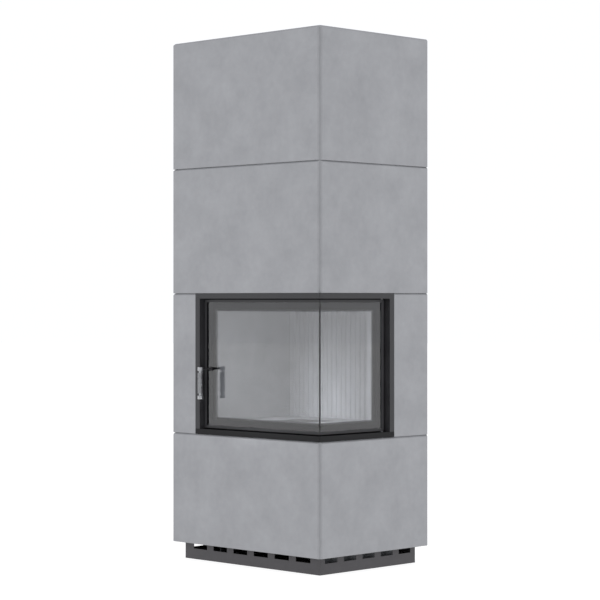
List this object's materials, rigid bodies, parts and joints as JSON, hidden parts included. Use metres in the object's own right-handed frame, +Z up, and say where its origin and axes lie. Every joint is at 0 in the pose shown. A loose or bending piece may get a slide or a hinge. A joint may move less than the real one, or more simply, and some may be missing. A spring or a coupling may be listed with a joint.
{
  "type": "corner fireplace",
  "caption": "Tall concrete-clad corner fireplace with a recessed slotted steel plinth and a firebox behind a side-hinged glass door that turns the corner.",
  "frame": {"origin": "on the floor, at the centre of the surround's plan", "axes": "+Z up; the front with the door handle faces -Y and the glazed side faces +X; the back against the wall faces +Y"},
  "size_m": [0.826, 0.6562, 2.07],
  "materials": {
    "concrete": "smooth cast concrete, sealed and unpolished",
    "black_steel": "satin heat-resistant black paint",
    "dark_steel": "matt dark grey heat-resistant paint",
    "bare_steel": "bare rolled steel, satin",
    "stainless": "brushed stainless steel",
    "glass": "clear ceramic glass with a dark printed border",
    "fireclay": "pressed pale insulating fireclay, matt",
    "cast_iron": "raw grey cast iron",
    "rope": "braided glass-fibre rope, charcoal",
    "sealant": "black high-temperature silicone",
    "board": "pale calcium-silicate board, matt"
  },
  "bodies": {
    "fireplace": {"air_box": "bare_steel", "ash_pan": "bare_steel", "back_board_lower": "board", "back_board_upper": "board", "baffle": "fireclay", "base_front": "concrete", "base_left": "concrete", "base_plate": "dark_steel", "base_right": "concrete", "firebox_floor": "dark_steel", "firebox_hood": "dark_steel", "firebox_walls": "dark_steel", "flue_bend": "dark_steel", "flue_outlet": "dark_steel", "flue_riser": "dark_steel", "frame_head_front": "black_steel", "frame_head_side": "black_steel", "frame_jamb_hinge": "black_steel", "frame_jamb_latch": "black_steel", "frame_sill_front": "black_steel", "frame_sill_side": "black_steel", "grate": "cast_iron", "hearth_slab": "fireclay", "hinge_pin_bottom": "bare_steel", "hinge_pin_top": "bare_steel", "lining_back": "fireclay", "lining_left": "fireclay", "lining_right": "fireclay", "lintel": "dark_steel", "opening_left": "concrete", "pier_front": "concrete", "pier_rear": "concrete", "plinth_front": "dark_steel", "plinth_left": "dark_steel", "plinth_rear": "dark_steel", "plinth_right": "dark_steel", "stand_left": "dark_steel", "stand_right": "dark_steel", "top_cover": "board", "top_front": "concrete", "top_left": "concrete", "top_right": "concrete", "upper_front": "concrete", "upper_left": "concrete", "upper_right": "concrete"},
    "door": {"leaf_rail_top_front": "black_steel", "leaf_rail_top_side": "black_steel", "leaf_rail_bottom_front": "black_steel", "leaf_rail_bottom_side": "black_steel", "leaf_stile_latch": "black_steel", "leaf_stile_hinge": "black_steel", "glass_front": "glass", "glass_side": "glass", "glass_seal": "sealant", "door_gasket": "rope"},
    "handle": {"handle_spindle": "black_steel", "handle_grip": "stainless", "grip_coil": "stainless", "latch_cam": "bare_steel"},
    "air_control": {"air_slide": "bare_steel"}
  },
  "joints": [
    {"name": "door_swing", "type": "hinge", "parent": "fireplace", "child": "door", "pos_m": [0.384, 0.066, 0.7855], "axis": [0, 0, 1], "range_deg": [0, 90]},
    {"name": "handle_turn", "type": "hinge", "parent": "door", "child": "handle", "pos_m": [-0.213, -0.3055, 0.766], "axis": [0, -1, 0], "range_deg": [0, 90]},
    {"name": "air_slide", "type": "slide", "parent": "fireplace", "child": "air_control", "axis": [1, 0, 0], "range_m": [0, 0.026]}
  ]
}
